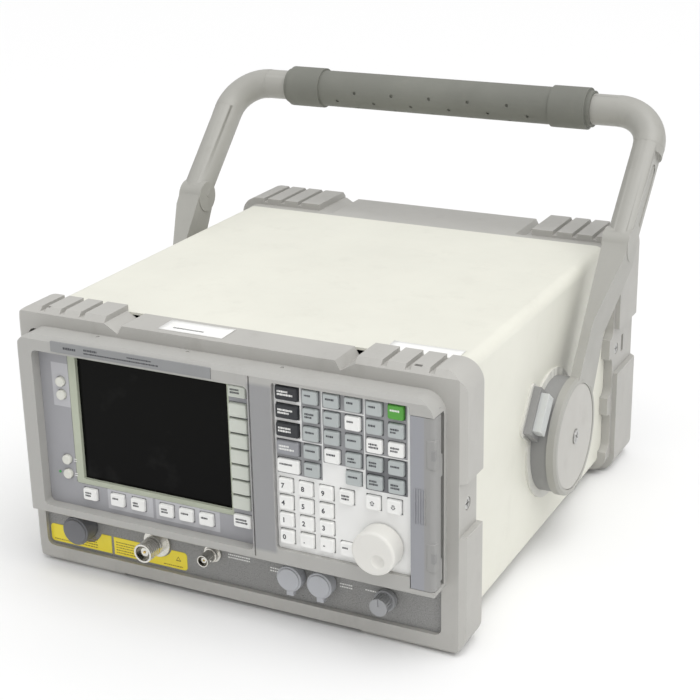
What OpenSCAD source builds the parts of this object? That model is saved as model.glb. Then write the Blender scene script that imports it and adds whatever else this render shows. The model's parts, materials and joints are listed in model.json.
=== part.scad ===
// Portable bench spectrum analyzer with swinging carry handle.
// Front faces -Y, right-hand side is +X, the bench is z = 0.
// The origin is on the bench, in the middle of the overall outline.

/* [Case] */
// width over the corner bumpers, mm
case_w = 381; // [340:1:420]
// height over the bumpers, bench to top, mm
case_h = 222; // [200:1:250]
// depth from front frame to rear frame, mm
case_d = 409; // [340:1:480]
// depth of the front frame ring, mm
front_d = 32; // [24:1:40]
// depth of the rear frame ring, mm
rear_d = 67; // [50:1:80]
// sleeve cover set in from the bumper sides, mm
cover_inset = 12; // [8:0.5:18]
// sheet thickness of the sleeve cover, mm
cover_t = 2; // [1:0.5:4]

/* [Bumpers] */
// length of each bumper along the top and bottom edges, mm
bumper_len = 84; // [50:1:110]
// gap between the upper and lower side bumpers, mm
waist_h = 42; // [20:1:70]
// height of the middle of that gap above the bench, mm
waist_z = 118; // [100:1:130]
// how far a bumper stands proud of the frame ring, mm
bumper_t = 4.5; // [2:0.5:8]
// grip grooves cut across each top bumper
groove_count = 3; // [1:1:5]
// width of one groove, mm
groove_w = 4.5; // [2:0.5:8]

/* [Front bezel] */
// how far the bezel stands in front of the frame, mm
bezel_d = 21; // [15:0.5:30]
// bezel width, mm
bezel_w = 353; // [330:1:370]
// height of the bezel bottom edge above the bench, mm
bezel_z0 = 57; // [50:1:70]
// height of the bezel top edge above the bench, mm
bezel_z1 = 207.5; // [195:0.5:212]
// screen width, mm
screen_w = 135; // [110:1:140]
// screen height, mm
screen_h = 102; // [80:1:104]

/* [Keys] */
// vertical pitch of the function key rows, mm
row_pitch = 14.1; // [13:0.1:14.8]
// horizontal pitch of the function key columns, mm
col_pitch = 16.7; // [15:0.1:17]
// pitch of the softkeys beside the screen, mm
soft_pitch = 12.45; // [12:0.05:12.8]
// clearance between a key and its opening, mm
key_gap = 0.4; // [0.2:0.05:0.8]
// how far a key stands out of its panel, mm
key_out = 3; // [2:0.25:5]
// key travel, mm
key_travel = 1.2; // [0.5:0.1:2]

/* [Knobs and connectors] */
// radius of the large tuning knob, mm
rpg_r = 17; // [12:0.5:20]
// length of the tuning knob, mm
rpg_len = 17; // [10:0.5:24]
// radius of the volume knob, mm
volume_r = 7; // [5:0.5:9]
// radius of the protective port caps, mm
cap_r = 10.5; // [8:0.5:12]

/* [Handle] */
// reach from pivot to the middle of the grip, mm
handle_reach = 291.5; // [285:0.5:330]
// distance of the knee from the pivot along the reach, mm
knee_along = 164; // [120:1:190]
// how far the knee stands off the line from pivot to grip, mm
knee_up = 15; // [4:1:25]
// radius of the handle tube, mm
tube_r = 13.5; // [10:0.5:15]
// radius of the rubber grip, mm
grip_r = 16.5; // [15:0.5:20]
// length of the rubber grip without its collars, mm
grip_len = 226; // [150:1:260]
// resting angle of the handle above the horizontal, degrees
handle_angle = 52; // [30:1:80]
// pivot distance behind the front frame, mm
pivot_y = 206; // [180:1:215]
// pivot height above the bench, mm
pivot_z = 97; // [90:1:125]
// radius of the round pivot hub, mm
hub_r = 49; // [40:1:50]
// running clearance of the pivot stub in its base, mm
pivot_gap = 0.06; // [0.02:0.01:0.1]

/* [Door] */
// height of the disk drive door, mm
door_h = 133; // [100:1:134]
// door skin thickness, mm
door_t = 3; // [2:0.5:4]

/* [Hidden] */
$fn = 64;
half_w = case_w / 2;
ring_half = half_w - bumper_t;
ring_z0 = bumper_t;
ring_z1 = case_h - bumper_t;
cover_half = half_w - cover_inset;
cover_z0 = 10;
cover_z1 = case_h - 5;
rear_y0 = case_d - rear_d;
open_x0 = -179;
open_x1 = 172.5;
open_z0 = 15;
open_z1 = 204;
bez_half = bezel_w / 2;
face_y = -bezel_d;
screen_x1 = 7;
screen_x0 = screen_x1 - screen_w;
screen_z1 = 190.5;
screen_z0 = screen_z1 - screen_h;
rec_x0 = -161.5;
rec_x1 = 29.5;
rec_z0 = 64;
rec_z1 = 195;
dpan_y = face_y + 9;
pad_x0 = 49.5;
pad_x1 = 157;
pad_z0 = 70;
pad_z1 = 201.5;
pad_y = face_y + 3.5;
row0_z = 194.6;
col0_x = 60.9;
col1_x = 79.8;
num0_x = 58;
num0_z = 122.3;
num_px = 16.4;
num_pz = 13.85;
soft_x = 17;
soft_z0 = 172.1;
low_z = 77;
rpg_x = 134.5;
rpg_z = 90;
door_x0 = 158;
door_z0 = 62;
hinge_x = bez_half - 3;
hinge_y = face_y + 12.5;
pin_r = 1.5;
low_y = 4;
vol_x = 127.5;
vol_z = 34;
rf_x = -142;
rf_z = 39;
nc_x = -72.5;
nc_z = 38;
bnc_x = -21.5;
bnc_z = 39.5;
probe_x = 49.6;
kbd_x = 75.3;
aux_z = 36.5;
hub_in = half_w + 3.5;
hub_out = hub_in + 8;
base_in = cover_half + 2;
base_out = hub_in - 0.5;
bend_r = 34;
arm_mid = hub_in + tube_r - 1;
lower_a = atan2(knee_up, knee_along);
lower_len = norm([knee_along, knee_up]);
upper_a = -atan2(knee_up, handle_reach - knee_along);
upper_len = norm([handle_reach - knee_along, knee_up]);
button_a = 143;
button_r = hub_r + 2;
front_out = rpg_len - pad_y;
fan_x = -105;
fan_z = 118;
fan_r = 40;
rpan_y = case_d - 16;

// ---------- helpers ----------
// moves the front-frame reference plane so that the knob front and the
// rear bumpers are equally far from the origin
module place() {
    translate([0, (front_out - case_d) / 2, 0]) children();
}

// rounded rectangle centred on the origin
module rrect(w, h, r) {
    square([w - 2 * r, h], center = true);
    square([w, h - 2 * r], center = true);
    for (sx = [-1, 1])
        for (sy = [-1, 1])
            translate([sx * (w / 2 - r), sy * (h / 2 - r)]) circle(r = r);
}

// upright plate in the XZ plane from y0 to y1
module plate(x0, x1, z0, z1, y0, y1, r = 0) {
    translate([(x0 + x1) / 2, y1, (z0 + z1) / 2])
        rotate([90, 0, 0])
            linear_extrude(y1 - y0)
                if (r > 0)
                    rrect(x1 - x0, z1 - z0, r);
                else
                    square([x1 - x0, z1 - z0], center = true);
}

// plate with only its two top corners rounded
module top_round_plate(x0, x1, z0, z1, y0, y1, r) {
    plate(x0, x1, z0, z1, y0, y1, r);
    plate(x0, x1, z0, z0 + 2 * r, y0, y1, 2);
}

// plain box given by its limits
module box(x0, x1, y0, y1, z0, z1) {
    translate([x0, y0, z0]) cube([x1 - x0, y1 - y0, z1 - z0]);
}

// cylinder along Y
module ycyl(x, z, r, y0, y1) {
    translate([x, y1, z]) rotate([90, 0, 0]) cylinder(r = r, h = y1 - y0);
}

// cylinder along X at depth y and height z
module xcyl(y, z, r, x0, x1) {
    translate([x0, y, z]) rotate([0, 90, 0]) cylinder(r = r, h = x1 - x0);
}

// cylinder along Z
module zcyl(x, y, r, z0, z1) {
    translate([x, y, z0]) cylinder(r = r, h = z1 - z0);
}

// children shown on both sides of the case
module both_sides() {
    children();
    mirror([1, 0, 0]) children();
}

// ---------- frames ----------
// zones where the four corner bumpers stand
module bumper_zones(y0, y1) {
    z_low = waist_z - waist_h / 2;
    z_top = waist_z + waist_h / 2;
    both_sides() {
        box(half_w - bumper_len, half_w + 1, y0, y1, -1, 30);
        box(half_w - bumper_len, half_w + 1, y0, y1, case_h - 30, case_h + 1);
        box(half_w - 30, half_w + 1, y0, y1, -1, z_low);
        box(half_w - 30, half_w + 1, y0, y1, z_top, case_h + 1);
    }
}

// sloping inner ends and grip grooves cut out of the top bumpers
module bumper_cuts(y0, y1) {
    step = bumper_len / (groove_count + 1.6);
    both_sides() {
        translate([half_w - bumper_len, y0 - 1, case_h - bumper_t])
            rotate([0, -30, 0]) translate([-14, 0, 0]) cube([14, y1 - y0 + 2, 20]);
        for (i = [1 : groove_count])
            translate([half_w - 10 - i * step, y0 - 1, case_h - 3.6])
                cube([groove_w, y1 - y0 + 2, 8]);
    }
}

// 45 degree relief round the outer edge of a frame, at depth y
module edge_relief(y, c) {
    for (z = [0, case_h])
        translate([-half_w - 5, y, z]) rotate([45, 0, 0]) translate([0, -c, -c]) cube([case_w + 10, 2 * c, 2 * c]);
    for (x = [-half_w, half_w])
        translate([x, y, -5]) rotate([0, 0, 45]) translate([-c, -c, 0]) cube([2 * c, 2 * c, case_h + 10]);
}

module front_frame() {
    color("#bdbbb2") place() difference() {
        union() {
            plate(-ring_half, ring_half, ring_z0, ring_z1, 0, front_d, 14);
            intersection() {
                plate(-half_w, half_w, 0, case_h, 0, front_d + 1.5, 17);
                bumper_zones(0, front_d + 1.5);
            }
        }
        plate(open_x0, open_x1, open_z0, open_z1, -1, front_d + 3, 6);
        box(-cover_half - 0.2, cover_half + 0.2, front_d, front_d + 3, cover_z0 - 0.2, cover_z1 + 0.2);
        bumper_cuts(0, front_d + 2);
        edge_relief(0, 3.2);
        both_sides() {
            xcyl(front_d / 2, waist_z, 5, ring_half - 3, ring_half + 5);
            xcyl(front_d / 2, waist_z, 2.6, ring_half - 9, ring_half);
        }
        for (x = [-165, 150])
            box(x, x + 6, 4, 6.5, ring_z1 - 3, case_h + 1);
    }
}

module rear_frame() {
    color("#bdbbb2") place() difference() {
        union() {
            plate(-ring_half, ring_half, ring_z0 + 0.5, ring_z1 - 1.5, rear_y0, case_d - 2, 14);
            intersection() {
                plate(-half_w, half_w, 0, case_h, rear_y0 + 12, case_d, 17);
                bumper_zones(rear_y0 + 12, case_d);
            }
        }
        plate(-172, 172, 16, 206, rear_y0 - 1, case_d + 1, 6);
        bumper_cuts(rear_y0 + 11, case_d + 1);
        edge_relief(case_d, 3.2);
        both_sides() {
            side_tongues(cover_half - cover_t - 0.4, ring_half + 2, 0.4);
            xcyl(rear_y0 + 20, waist_z, 5, ring_half - 3, ring_half + 5);
            xcyl(rear_y0 + 20, waist_z, 2.6, ring_half - 9, ring_half);
            box(ring_half - 6, ring_half + 1, rear_y0 + 34, rear_y0 + 40, waist_z - 8, waist_z + 8);
        }
    }
}

module frame_screws() {
    color("#8d9092") place() both_sides()
        for (y = [front_d / 2, rear_y0 + 20])
            difference() {
                union() {
                    xcyl(y, waist_z, 4.6, ring_half - 3, ring_half - 0.4);
                    xcyl(y, waist_z, 2.5, ring_half - 8.5, ring_half - 2.9);
                }
                box(ring_half - 1.6, ring_half + 1, y - 3, y + 3, waist_z - 0.6, waist_z + 0.6);
                box(ring_half - 1.6, ring_half + 1, y - 0.6, y + 0.6, waist_z - 3, waist_z + 3);
            }
}

// ---------- cover and rear panel ----------
// rounded tongues on the side edges of the cover, from x0 to x1
module side_tongues(x0, x1, gap) {
    for (z = [42, 95, 150, 190])
        translate([x0, rear_y0, z]) rotate([90, 0, 90])
            linear_extrude(x1 - x0) rrect(18 + 2 * gap, 36 + 2 * gap - (z > 180 ? 8 : 0), 8);
}

module sleeve_cover() {
    in = cover_half - cover_t;
    color("#e4e4da") place() difference() {
        union() {
            plate(-cover_half, cover_half, cover_z0, cover_z1, front_d, rear_y0, 9);
            both_sides() side_tongues(in, cover_half, 0);
        }
        plate(-in, in, cover_z0 + cover_t, cover_z1 - cover_t, front_d - 1, rear_y0 + 1, 7);
        for (i = [0 : 8])
            box(-90 + i * 22, -78 + i * 22, rear_y0 - 70, rear_y0 - 66, cover_z0 - 1, cover_z0 + 3);
        both_sides() {
            for (i = [0 : 5])
                box(cover_half - 3, cover_half + 1, rear_y0 - 40, rear_y0 - 37, 40 + i * 24, 52 + i * 24);
            xcyl(pivot_y, pivot_z, 8, in - 1, cover_half + 1);
        }
    }
}

module rear_panel() {
    color("#c9cac6") place() difference() {
        union() {
            plate(-171.5, 171.5, 16.5, 205.5, rpan_y, rpan_y + 2, 5);
            plate(30, 165, 100, 198, rpan_y + 1.9, rpan_y + 3);
        }
        ycyl(fan_x, fan_z, fan_r, rpan_y - 1, rpan_y + 4);
        plate(104.8, 133.2, 27.3, 50.7, rpan_y - 1, rpan_y + 4);
        plate(-34.5, 25.5, 29.5, 47.5, rpan_y - 1, rpan_y + 4);
        plate(-150.3, -103.7, 29.5, 44.5, rpan_y - 1, rpan_y + 4);
        for (i = [0 : 4])
            ycyl(-30 + i * 30, 66, 5.2, rpan_y - 1, rpan_y + 4);
        for (i = [0 : 3])
            box(32, 163, rpan_y + 2.4, rpan_y + 4, 121 + i * 20, 122 + i * 20);
        for (i = [0 : 3])
            ycyl(-150 + i * 10, 66, 2.2, rpan_y - 1, rpan_y + 4);
    }
}

module rear_bnc_group() {
    color("#b9bbb8") place()
        for (i = [0 : 4])
            difference() {
                union() {
                    ycyl(-30 + i * 30, 66, 5, rpan_y - 8, rpan_y + 12.5);
                    ycyl(-30 + i * 30, 66, 7.5, rpan_y + 2.05, rpan_y + 4.2);
                    xcyl(rpan_y + 10, 66, 1, -36.2 + i * 30, -23.8 + i * 30);
                }
                ycyl(-30 + i * 30, 66, 4, rpan_y + 5, rpan_y + 13);
                ycyl(-30 + i * 30, 66, 1, rpan_y - 9, rpan_y - 3);
            }
}

module gpib_connector() {
    color("#2f3032") place() difference() {
        union() {
            plate(-34, 25, 30, 47, rpan_y - 8, rpan_y + 9, 3);
            plate(-40, 31, 28, 49, rpan_y + 2.05, rpan_y + 4, 3);
        }
        plate(-27, 18, 34, 43, rpan_y + 3, rpan_y + 10, 2);
    }
}

module video_connector() {
    color("#3a5a8a") place() difference() {
        union() {
            plate(-150, -104, 30, 44, rpan_y - 8, rpan_y + 7, 3);
            plate(-155, -99, 29, 45, rpan_y + 2.05, rpan_y + 3.6, 3);
        }
        plate(-144, -110, 33, 41, rpan_y + 2.5, rpan_y + 8, 2);
    }
}

module power_inlet() {
    color("#222324") place() difference() {
        union() {
            plate(105, 133, 27.5, 50.5, rpan_y - 16, rpan_y + 5, 3);
            plate(98, 140, 25, 53, rpan_y + 2.05, rpan_y + 4.5, 3);
        }
        plate(108, 130, 31, 47, rpan_y - 12, rpan_y + 6, 3);
        for (x = [101.3, 136.7])
            ycyl(x, 39, 1.6, rpan_y + 1, rpan_y + 6);
    }
    color("#c8c8c4") place()
        for (i = [-1 : 1])
            box(118 + i * 6.5, 120 + i * 6.5, rpan_y - 12.1, rpan_y + 3, 36 + 4 * abs(i), 42 - 2 * (1 - abs(i)));
}

module fan_grille() {
    color("#9fa3a4") place() {
        for (r = [10 : 8 : 42])
            translate([fan_x, rpan_y + 4.2, fan_z]) rotate([90, 0, 0])
                rotate_extrude($fn = 48) translate([r, 0]) circle(r = 0.9, $fn = 16);
        for (a = [45 : 90 : 315])
            translate([fan_x, rpan_y + 2.9, fan_z]) rotate([0, a, 0])
                translate([9, -0.8, -1]) cube([36.5, 1.4, 2]);
        for (a = [45 : 90 : 315])
            translate([fan_x, rpan_y + 3.1, fan_z]) rotate([0, a, 0])
                translate([46.5, 0, 0]) rotate([90, 0, 0]) difference() {
                    cylinder(r = 4, h = 1);
                    translate([0, 0, -1]) cylinder(r = 1.8, h = 3);
                }
    }
}

module fan_frame() {
    color("#2b2c2e") place() {
        difference() {
            plate(fan_x - 45, fan_x + 45, fan_z - 45, fan_z + 45, rpan_y - 25.2, rpan_y - 0.05, 5);
            ycyl(fan_x, fan_z, fan_r - 0.5, rpan_y - 26, rpan_y + 1);
        }
        difference() {
            union() {
                ycyl(fan_x, fan_z, 15, rpan_y - 25.2, rpan_y - 22);
                for (a = [0 : 90 : 270])
                    translate([fan_x, rpan_y - 25.2, fan_z]) rotate([0, a, 0])
                        translate([12, 0, -2]) cube([fan_r - 11, 3, 4]);
            }
            ycyl(fan_x, fan_z, 2.05, rpan_y - 26, rpan_y - 21);
        }
    }
}

module fan_rotor() {
    color("#38393c") place() {
        ycyl(fan_x, fan_z, 14, rpan_y - 21.5, rpan_y - 4);
        ycyl(fan_x, fan_z, 2, rpan_y - 24.8, rpan_y - 21.4);
        for (a = [0 : 360 / 7 : 359])
            translate([fan_x, rpan_y - 12.5, fan_z]) rotate([0, a, 0])
                translate([13, 0, 0]) rotate([38, 0, 0]) translate([0, -9, -0.8])
                    cube([24.5, 18, 1.6]);
    }
}

// ---------- inner modules ----------
module chassis_tray() {
    color("#b8bcbd") place() {
        box(-165, 165, front_d + 3, rear_y0 - 1, 13, 15);
        for (x = [-165, 163.5])
            box(x, x + 1.5, front_d + 3, rear_y0 - 1, 14.9, 60);
        both_sides() {
            box(60, 90, front_d + 3, front_d + 5, 14.9, 50);
        }
    }
}

module power_supply() {
    color("#a8acad") place() difference() {
        box(60, 160, rear_y0 - 130, rpan_y - 32, 16, 96);
        for (i = [0 : 7])
            box(70 + i * 10, 75 + i * 10, rear_y0 - 110, rear_y0 - 20, 93, 97);
    }
}

module rf_deck() {
    color("#c4c2b4") place() {
        box(-160, 40, 70, 250, 16, 70);
        for (i = [0 : 3])
            box(-150 + i * 46, -112 + i * 46, 80, 240, 69.9, 96);
    }
}

module processor_board() {
    color("#2f6b45") place() {
        box(-160, 160, 150, 340, 168, 169.8);
        box(-90, -50, 200, 240, 169.7, 174);
        box(-20, 12, 190, 222, 169.7, 173);
        for (i = [0 : 3])
            box(60, 90, 180 + i * 34, 200 + i * 34, 169.7, 172.5);
    }
}

// ---------- front bezel and display ----------
module front_bezel() {
    color("#b9b8b1") place() difference() {
        union() {
            top_round_plate(-bez_half, bez_half, bezel_z0, bezel_z1, face_y, -0.05, 16);
        }
        // display recess with a wider mouth
        plate(rec_x0, rec_x1, rec_z0, rec_z1, face_y - 1, 1, 4);
        // keypad pocket
        plate(pad_x0, pad_x1 + 0.3, pad_z0, pad_z1, face_y - 1, 1, 2);
        // space behind the door and round its hinge
        box(door_x0 - 0.8, bez_half + 1, face_y - 1, face_y + 5, door_z0 - 0.4, door_z0 + door_h + 0.4);
        box(hinge_x - 5.3, bez_half + 1, face_y - 1, face_y + 12.4, door_z0 - 0.4, door_z0 + door_h + 0.4);
        zcyl(hinge_x, hinge_y, 4.6, door_z0 - 0.4, door_z0 + door_h + 0.4);
        box(door_x0 - 0.8, 171.4, face_y + 4, 1, 78, 183);
        zcyl(hinge_x, hinge_y, pin_r + 0.02, door_z0 - 3.5, door_z0 + door_h + 4);
        // rounded pillar: grooves beside it
        box(rec_x1 + 0.9, rec_x1 + 2.3, face_y - 1, face_y + 1.5, 60, 204);
        // front edge reliefs
        translate([-200, face_y, bezel_z1]) rotate([45, 0, 0]) translate([0, -2.4, -2.4]) cube([400, 4.8, 4.8]);
        translate([-200, face_y, bezel_z0]) rotate([45, 0, 0]) translate([0, -1, -1]) cube([400, 2, 2]);
        translate([-bez_half, face_y, 0]) rotate([0, 0, 45]) translate([-2, -2, 0]) cube([4, 4, 230]);
        // seat of the name plate
        box(-142.5, 0, face_y - 1, face_y + 0.8, 196.4, 205.4);
        // speaker and joint dots along the top
        for (x = [-110, -30, 50])
            translate([x, -4, bezel_z1 - 1]) cylinder(r = 1.5, h = 3);
    }
}

module name_plate() {
    color("#c8cacb") place() {
        plate(-142.3, -0.2, 196.6, 205.2, face_y - 0.6, face_y + 0.8, 0.8);
    }
}

module key_hole(x, z, w, h, y0, y1) {
    plate(x - w / 2 - key_gap, x + w / 2 + key_gap, z - h / 2 - key_gap, z + h / 2 + key_gap, y0, y1);
}

// one key cap with a slightly smaller touch face
module key_cap(x, z, w, h, y) {
    back = y + 7;
    plate(x - w / 2, x + w / 2, z - h / 2, z + h / 2, y - key_out + 1, back, 1.1);
    plate(x - w / 2 + 0.8, x + w / 2 - 0.8, z - h / 2 + 0.8, z + h / 2 - 0.8, y - key_out, y - key_out + 1.05, 1);
}

module round_key(x, z, r, y) {
    ycyl(x, z, r, y - key_out + 0.8, y + 7);
    ycyl(x, z, r - 0.7, y - key_out, y - key_out + 0.9);
}

module display_panel() {
    color("#9a9aa1") place() difference() {
        plate(rec_x0 + 0.1, rec_x1 - 0.1, rec_z0 + 0.1, rec_z1 - 0.1, dpan_y, dpan_y + 4, 4);
        plate(screen_x0 - 7, screen_x1 + 1.8, screen_z0 - 4.2, screen_z1 + 3.4, dpan_y - 1, dpan_y + 5, 2);
        for (i = [0 : 6])
            key_hole(soft_x, soft_z0 - i * soft_pitch, 15.6, 11, dpan_y - 1, dpan_y + 5);
        key_hole(soft_x, 187, 15.2, 9.8, dpan_y - 1, dpan_y + 5);
        key_hole(soft_x, 82.2, 15.6, 10.4, dpan_y - 1, dpan_y + 5);
        key_hole(-121.6, low_z, 12.8, 9.8, dpan_y - 1, dpan_y + 5);
        for (x = [-96, -77, -51.2, -33.2, -15.2])
            key_hole(x, low_z, 12.6, 10.4, dpan_y - 1, dpan_y + 5);
        for (z = [169, 158])
            ycyl(-142.2, z, 4 + key_gap, dpan_y - 1, dpan_y + 5);
        for (z = [103.3, 91])
            ycyl(-142, z, 4 + key_gap, dpan_y - 1, dpan_y + 5);
    }
}

module display_gasket() {
    color("#cfd2c2") place() difference() {
        plate(screen_x0 - 6.9, screen_x1 + 1.7, screen_z0 - 4.1, screen_z1 + 3.3, dpan_y + 0.4, dpan_y + 3.4, 1.9);
        plate(screen_x0, screen_x1, screen_z0, screen_z1, dpan_y, dpan_y + 5, 0.8);
    }
}

module display_glass() {
    color("#101214") place()
        plate(screen_x0 - 4, screen_x1 + 1, screen_z0 - 3, screen_z1 + 2.5, dpan_y + 3.45, dpan_y + 5);
}

module lcd_module() {
    color("#5b5f60") place() {
        plate(screen_x0 - 4, screen_x1 + 1, screen_z0 - 3, screen_z1 + 2.5, dpan_y + 5.05, dpan_y + 16);
        plate(screen_x0 + 4, screen_x1 - 8, screen_z0 + 5, screen_z1 - 5, dpan_y + 15.9, dpan_y + 18);
    }
}

// ---------- keypad ----------
// centre of a function key: column 0 to 5, row 0 to 4
function col_x(c) = (c == 0) ? col0_x : col1_x + (c - 1) * col_pitch;
function row_z(r) = row0_z - r * row_pitch;
function num_x(c) = num0_x + c * num_px;
function num_z(r) = num0_z - r * num_pz;
function wide(c) = (c == 0) ? 18.2 : 12.4;
// column, row pairs that are empty
function is_key(c, r) = !(c == 2 && r == 4);
// white keys stand out in the grid
function is_white(c, r) = (c == 0 && r == 4) || (c == 2 && r == 3) || (c == 3 && r == 1) || (c == 4 && r == 2) || (c == 5 && r == 2);
function is_num(c, r) = (c < 3) || r == 0;

module keypad_panel() {
    color("#e9e9e4") place() difference() {
        plate(pad_x0 + 0.1, pad_x1 + 0.2, pad_z0 + 0.1, pad_z1 - 0.1, pad_y, pad_y + 3, 2);
        for (c = [0 : 5])
            for (r = [0 : 4])
                if (is_key(c, r))
                    key_hole(col_x(c), row_z(r), wide(c), 10.8, pad_y - 1, pad_y + 4);
        for (c = [0 : 3])
            for (r = [0 : 3])
                if (is_num(c, r))
                    key_hole(num_x(c), num_z(r), 11.4, 11.2, pad_y - 1, pad_y + 4);
        key_hole(num_x(3), num_z(3), 11.4, 11.2, pad_y - 1, pad_y + 4);
        for (x = [128.3, 144.7])
            key_hole(x, num0_z, 11.4, 11.2, pad_y - 1, pad_y + 4);
        ycyl(rpg_x, rpg_z, 4, pad_y - 1, pad_y + 4);
    }
}

module keypad_backing() {
    color("#3a5f4a") place() {
        difference() {
            plate(pad_x0 + 1, pad_x1 - 1, pad_z0 + 1, pad_z1 - 1, pad_y + 8.6, pad_y + 11);
            ycyl(rpg_x, rpg_z, 3.2, pad_y + 8, pad_y + 12);
        }
        difference() {
            plate(rpg_x - 7, rpg_x + 7, rpg_z - 7, rpg_z + 7, pad_y + 10.9, pad_y + 18);
            ycyl(rpg_x, rpg_z, 3.05, pad_y + 8, pad_y + 16);
        }
    }
}

module band_keys() {
    color("#2a2c2f") place()
        for (r = [0 : 2])
            key_cap(col_x(0), row_z(r), wide(0), 10.8, pad_y);
}

module key_preset() {
    color("#2f8f63") place() key_cap(col_x(5), row_z(0), wide(5), 10.8, pad_y);
}

module white_keys() {
    color("#eeeeea") place()
        for (c = [0 : 5])
            for (r = [0 : 4])
                if (is_white(c, r))
                    key_cap(col_x(c), row_z(r), wide(c), 10.8, pad_y);
}

module grey_keys() {
    color("#8b8f93") place()
        for (c = [0 : 5])
            for (r = [0 : 4])
                if (is_key(c, r) && !is_white(c, r) && !(c == 0 && r < 3) && !(c == 5 && r == 0))
                    key_cap(col_x(c), row_z(r), wide(c), 10.8, pad_y);
}

module number_keys() {
    color("#8b8f93") place()
        for (c = [0 : 3])
            for (r = [0 : 3])
                if (is_num(c, r))
                    key_cap(num_x(c), num_z(r), 11.4, 11.2, pad_y);
}

module key_enter() {
    color("#8b8f93") place() key_cap(num_x(3), num_z(3), 11.4, 11.2, pad_y);
}

module arrow_keys() {
    color("#8b8f93") place()
        for (x = [128.3, 144.7])
            key_cap(x, num0_z, 11.4, 11.2, pad_y);
}

module key_power_on() {
    color("#d8d8d2") place() round_key(-142, 91, 4, dpan_y);
}

module key_standby() {
    color("#d8d8d2") place() round_key(-142, 103.3, 4, dpan_y);
}

module view_keys() {
    color("#d8d8d2") place()
        for (z = [169, 158])
            round_key(-142.2, z, 4, dpan_y);
}

module key_help() {
    color("#8b8f93") place() key_cap(-121.6, low_z, 12.8, 9.8, dpan_y);
}

module key_esc() {
    color("#8b8f93") place() key_cap(soft_x, 187, 15.2, 9.8, dpan_y);
}

module key_return() {
    color("#8b8f93") place() key_cap(soft_x, 82.2, 15.6, 10.4, dpan_y);
}

module softkeys() {
    color("#8b8f93") place()
        for (i = [0 : 6])
            key_cap(soft_x, soft_z0 - i * soft_pitch, 15.6, 11, dpan_y);
}

module tab_keys() {
    color("#8b8f93") place()
        for (x = [-96, -77, -51.2, -33.2, -15.2])
            key_cap(x, low_z, 12.6, 10.4, dpan_y);
}

// smooth knob with a rounded front edge and a finger dimple
module rpg_knob() {
    edge = 2.5;
    tall = rpg_len - 1;
    color("#d8d6cc") place() {
        difference() {
            translate([rpg_x, pad_y - 1, rpg_z]) rotate([90, 0, 0]) rotate_extrude() {
                square([rpg_r - edge, tall]);
                square([rpg_r, tall - edge]);
                translate([rpg_r - edge, tall - edge]) circle(r = edge);
            }
            translate([rpg_x + 4, pad_y - rpg_len - 4.5, rpg_z - 5]) sphere(r = 7);
        }
        ycyl(rpg_x, rpg_z, 3, pad_y - 1.1, pad_y + 15.5);
    }
}

// ---------- lower connector panel ----------
module connector_panel() {
    color("#7f7e7b") place() difference() {
        plate(open_x0 + 0.1, open_x1 - 0.1, open_z0 + 0.1, bezel_z0 + 4, low_y, low_y + 3, 6.1);
        ycyl(nc_x, nc_z, 8.05, low_y - 1, low_y + 4);
        ycyl(bnc_x, bnc_z, 5.05, low_y - 1, low_y + 4);
        ycyl(rf_x, rf_z, 8.1, low_y - 1, low_y + 4);
        for (x = [probe_x, kbd_x])
            ycyl(x, aux_z, 7.1, low_y - 1, low_y + 4);
        ycyl(vol_x, vol_z, 3.06, low_y - 1, low_y + 4);
    }
}

module warning_label() {
    color("#d9be2e") place() difference() {
        plate(-177.5, -46.5, 17.5, 33, low_y - 0.4, low_y, 3);
        ycyl(rf_x, rf_z, 16, low_y - 1, low_y + 1);
        box(-118, -115.5, low_y - 1, low_y + 1, 10, 40);
        ycyl(nc_x, nc_z, 13, low_y - 1, low_y + 1);
        ycyl(-34, 36, 7, low_y - 1, low_y + 1);
    }
}

// dust cap: shell with a plug, pulls straight off
module dust_cap(x, z, r, plug, len) {
    ycyl(x, z, r, low_y - len, low_y - 0.6);
    ycyl(x, z, r - 1.5, low_y - len - 1.2, low_y - len + 0.1);
    ycyl(x, z, plug, low_y - 0.7, low_y + 6);
}

module rf_out_cap() {
    color("#3a3b3c") place() dust_cap(rf_x, rf_z, 12, 7.9, 15);
}

module probe_power_cap() {
    color("#8a8a87") place() {
        dust_cap(probe_x, aux_z, cap_r, 6.9, 9);
        box(probe_x - 3, probe_x + 3, low_y - 8, low_y - 3, aux_z - cap_r - 4, aux_z - cap_r + 2);
    }
}

module ext_keyboard_cap() {
    color("#8a8a87") place() {
        dust_cap(kbd_x, aux_z, cap_r, 6.9, 9);
        box(kbd_x - 3, kbd_x + 3, low_y - 8, low_y - 3, aux_z - cap_r - 4, aux_z - cap_r + 2);
    }
}

module n_connector() {
    color("#c2c4c3") place() difference() {
        union() {
            ycyl(nc_x, nc_z, 12, low_y - 3, low_y - 0.05);
            ycyl(nc_x, nc_z, 7.9, low_y - 23, low_y - 2.9);
            ycyl(nc_x, nc_z, 8.2, low_y - 9, low_y - 2.9);
            ycyl(nc_x, nc_z, 7.9, low_y - 0.1, low_y + 18);
        }
        difference() {
            ycyl(nc_x, nc_z, 6.3, low_y - 24, low_y - 12);
            ycyl(nc_x, nc_z, 3.6, low_y - 20, low_y - 11);
        }
        ycyl(nc_x, nc_z, 1, low_y - 21, low_y - 14);
        for (i = [0 : 4])
            translate([nc_x, low_y - 21 + i * 2.2, nc_z]) rotate([90, 0, 0]) rotate_extrude()
                translate([7.6, 0]) square([1, 0.9]);
    }
}

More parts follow.
